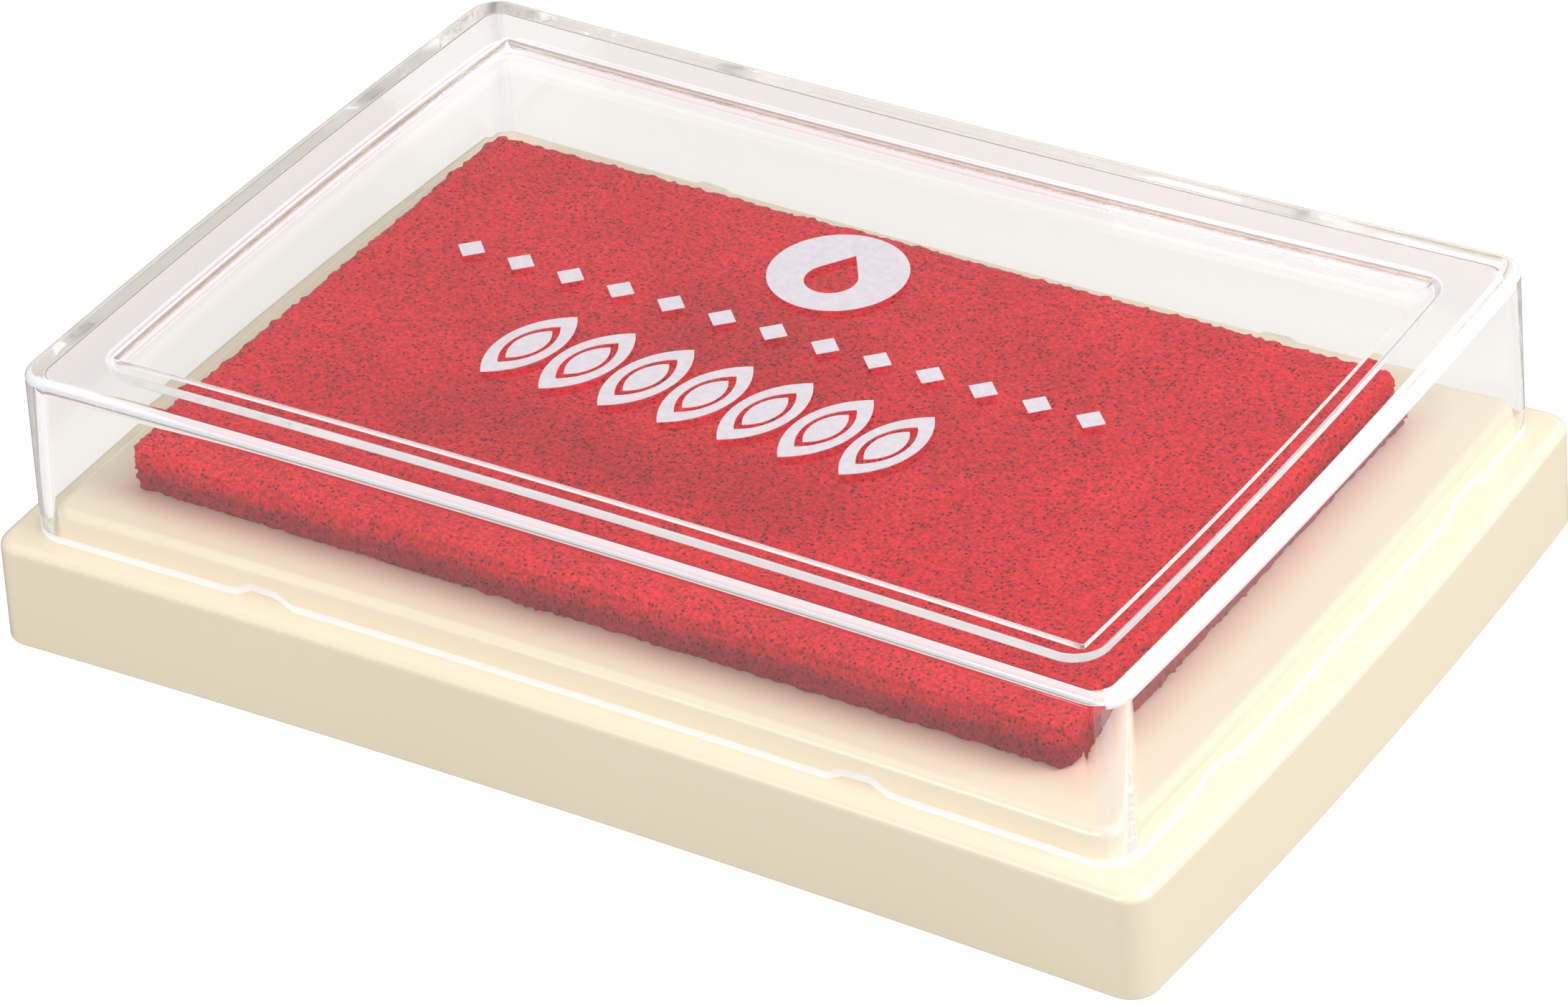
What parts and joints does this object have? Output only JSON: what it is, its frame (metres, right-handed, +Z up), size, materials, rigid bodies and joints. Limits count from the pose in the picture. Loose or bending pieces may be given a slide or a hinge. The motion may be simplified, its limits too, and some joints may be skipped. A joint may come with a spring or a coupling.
{
  "type": "ink pad",
  "caption": "Stamp ink pad: red foam on a shallow ivory plastic tray, under a clear lift-off lid with a sunk, printed top panel.",
  "frame": {"origin": "middle of the footprint, on the surface the tray stands on", "axes": "+X along the long side to the right, +Y to the rear, +Z up"},
  "size_m": [0.0982, 0.0668, 0.0225],
  "materials": {
    "ivory_plastic": "moulded, soft gloss",
    "adhesive_film": "double-sided film",
    "inked_foam": "open-cell foam, wet with red ink",
    "clear_plastic": "clear moulded polystyrene",
    "white_print": "pad-printed ink"
  },
  "bodies": {
    "base": {"tray": "ivory_plastic", "adhesive_sheet": "adhesive_film", "foam_pad": "inked_foam"},
    "cover": {"lid": "clear_plastic", "lid_print": "white_print"}
  },
  "joints": [
    {"name": "lid_lift", "type": "slide", "parent": "base", "child": "cover", "axis": [0, 0, 1], "range_m": [0, 0.04]}
  ]
}
